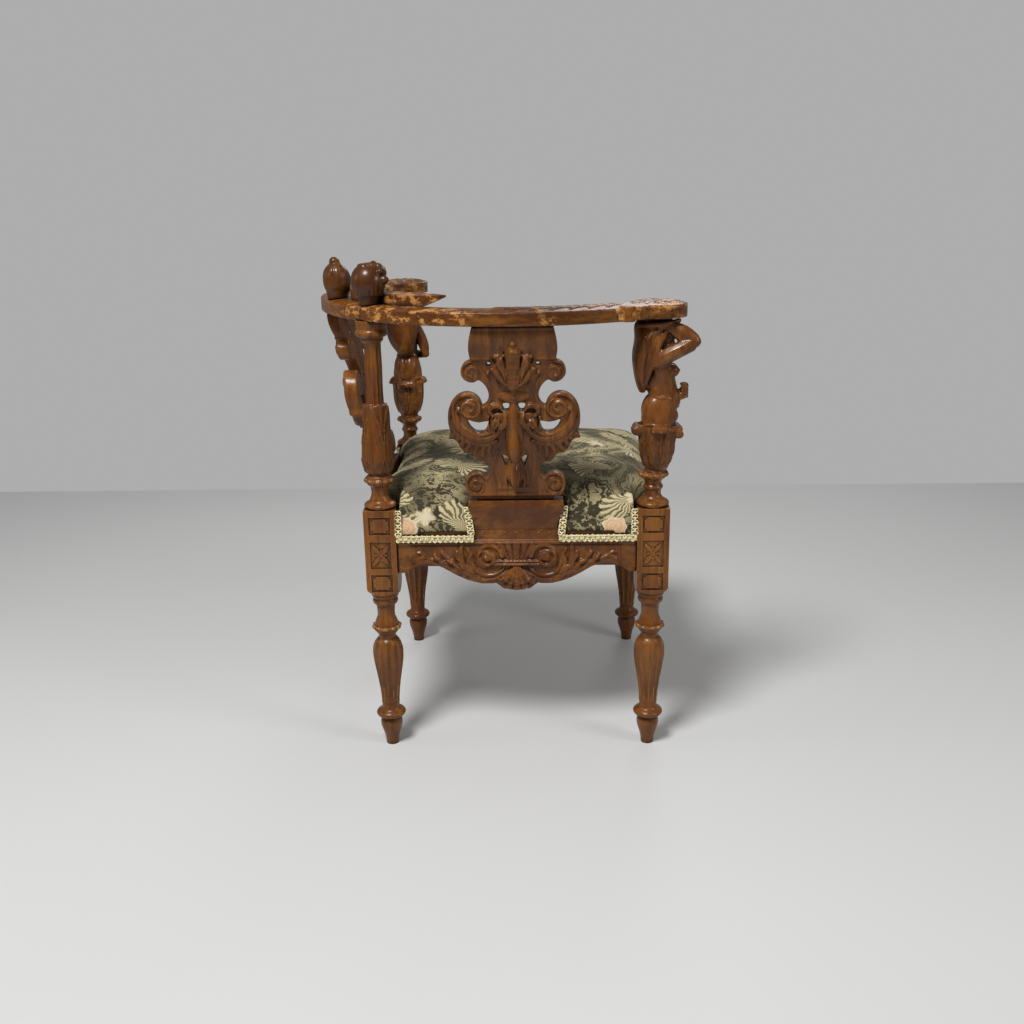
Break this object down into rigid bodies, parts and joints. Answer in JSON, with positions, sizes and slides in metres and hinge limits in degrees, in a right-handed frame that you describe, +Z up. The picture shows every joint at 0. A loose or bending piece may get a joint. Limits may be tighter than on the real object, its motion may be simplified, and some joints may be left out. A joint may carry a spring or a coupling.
{
  "type": "corner chair",
  "caption": "Corner chair with turned legs, figure posts, pierced splats, a horseshoe arm rail and a stuffed seat set on its corner.",
  "frame": {"origin": "on the floor under the middle of the square seat, which is also the middle of the whole box", "axes": "+Z up; +Y towards the back post, -Y towards the front corner; +X is the sitter's left, where the right-hand post of the plan stands; every piece is symmetric about X = 0 but for the second carved head"},
  "size_m": [0.7464, 0.695, 0.816],
  "materials": {
    "walnut": "polished reddish-brown walnut, dark in the carving and worn golden on the edges",
    "beech": "plain unpolished hardwood, hidden",
    "steel": "plain steel screws",
    "brass": "dull small brass pins",
    "webbing": "woven jute webbing",
    "hessian": "plain hessian",
    "tapestry": "woven tapestry of leaves and blossoms on a dark olive ground",
    "gimp": "pale woven braid"
  },
  "bodies": {
    "root": {"leg_back": "walnut", "leg_left": "walnut", "leg_right": "walnut", "leg_front": "walnut", "baluster_back": "walnut", "caryatid_left": "walnut", "caryatid_right": "walnut", "apron_back_left": "walnut", "apron_back_right": "walnut", "apron_front_left": "walnut", "apron_front_right": "walnut", "splat_shoe_left": "walnut", "splat_shoe_right": "walnut", "splat_left": "walnut", "splat_right": "walnut", "arm_rail_left": "walnut", "arm_rail_right": "walnut", "crest_rail": "walnut", "crest_head_centre": "walnut", "crest_head_side": "walnut", "arm_joint_dowels": "beech", "head_dowels": "beech", "corner_braces": "beech", "crest_screws": "steel", "brace_screws": "steel", "cover_brads": "brass", "seat_webbing": "webbing", "seat_hessian": "hessian", "seat_cushion": "tapestry", "gimp_braid": "gimp"}
  },
  "joints": []
}
